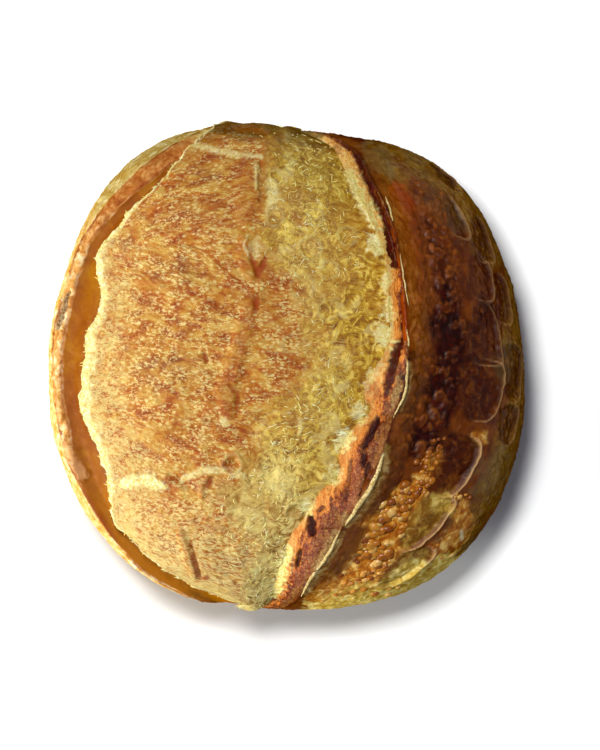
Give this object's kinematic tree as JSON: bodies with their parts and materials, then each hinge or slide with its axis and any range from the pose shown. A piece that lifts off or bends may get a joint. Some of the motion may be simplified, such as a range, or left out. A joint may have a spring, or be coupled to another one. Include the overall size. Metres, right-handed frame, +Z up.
{
  "type": "sourdough loaf",
  "caption": "Round hearth-baked sourdough loaf with a long slash, a raised ear of crust, burst golden crumb and leaf-shaped cuts down the dark side; rests on a flat base.",
  "frame": {"origin": "centre of the bounding box in plan, on the surface the loaf rests on", "axes": "+X across the slash towards the ear, +Y along the slash, +Z up from the flat base"},
  "size_m": [0.2302, 0.235, 0.1092],
  "materials": {
    "crust": "dark baked wheat crust, amber to mahogany, blistered and faintly glossy, dusted with flour in the cuts",
    "crumb": "burst and toasted crumb, golden with pale stretched strands, matte",
    "ear": "rough toasted cut face of the ear, orange-brown with a charred crest, matte"
  },
  "bodies": {
    "root": {"loaf": "crust"}
  },
  "joints": []
}
